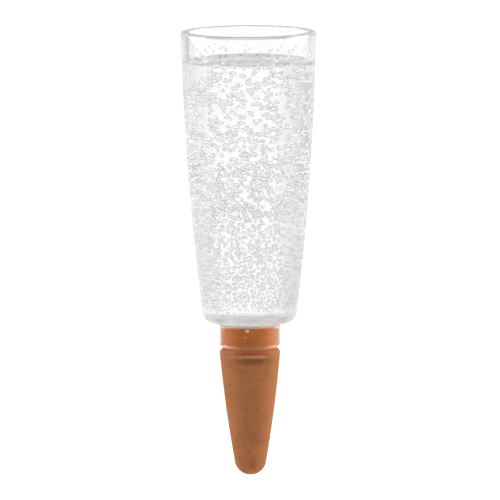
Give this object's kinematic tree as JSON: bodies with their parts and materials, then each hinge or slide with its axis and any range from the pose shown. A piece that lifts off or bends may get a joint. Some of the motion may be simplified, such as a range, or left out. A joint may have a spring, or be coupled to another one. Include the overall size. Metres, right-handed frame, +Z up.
{
  "type": "self-watering spike",
  "caption": "Clear bubble-wall cup whose neck plugs onto a hollow clay cone: the cone is pushed into a pot's soil and water seeps out through the clay.",
  "frame": {"origin": "on the axis, on the clay cone's shoulder, where the soil ends", "axes": "+Z up along the axis, from the cone's tip to the cup's rim; X and Y are free, because the object is round"},
  "size_m": [0.0736, 0.0736, 0.24],
  "materials": {
    "clear_plastic": "polished, clear, with bubbles in the wall",
    "clear_silicone": "smooth, translucent",
    "terracotta": "unglazed, matte, porous"
  },
  "bodies": {
    "cone": {"clay_cone": "terracotta"},
    "seal": {"neck_seal": "clear_silicone"},
    "cup": {"reservoir": "clear_plastic"}
  },
  "joints": [
    {"name": "cup_twist", "type": "hinge", "parent": "cone", "child": "seal", "pos_m": [0, 0, 0], "axis": [0, 0, 1], "continuous": true},
    {"name": "cup_lift", "type": "slide", "parent": "seal", "child": "cup", "axis": [0, 0, 1], "range_m": [0, 0.03]}
  ]
}
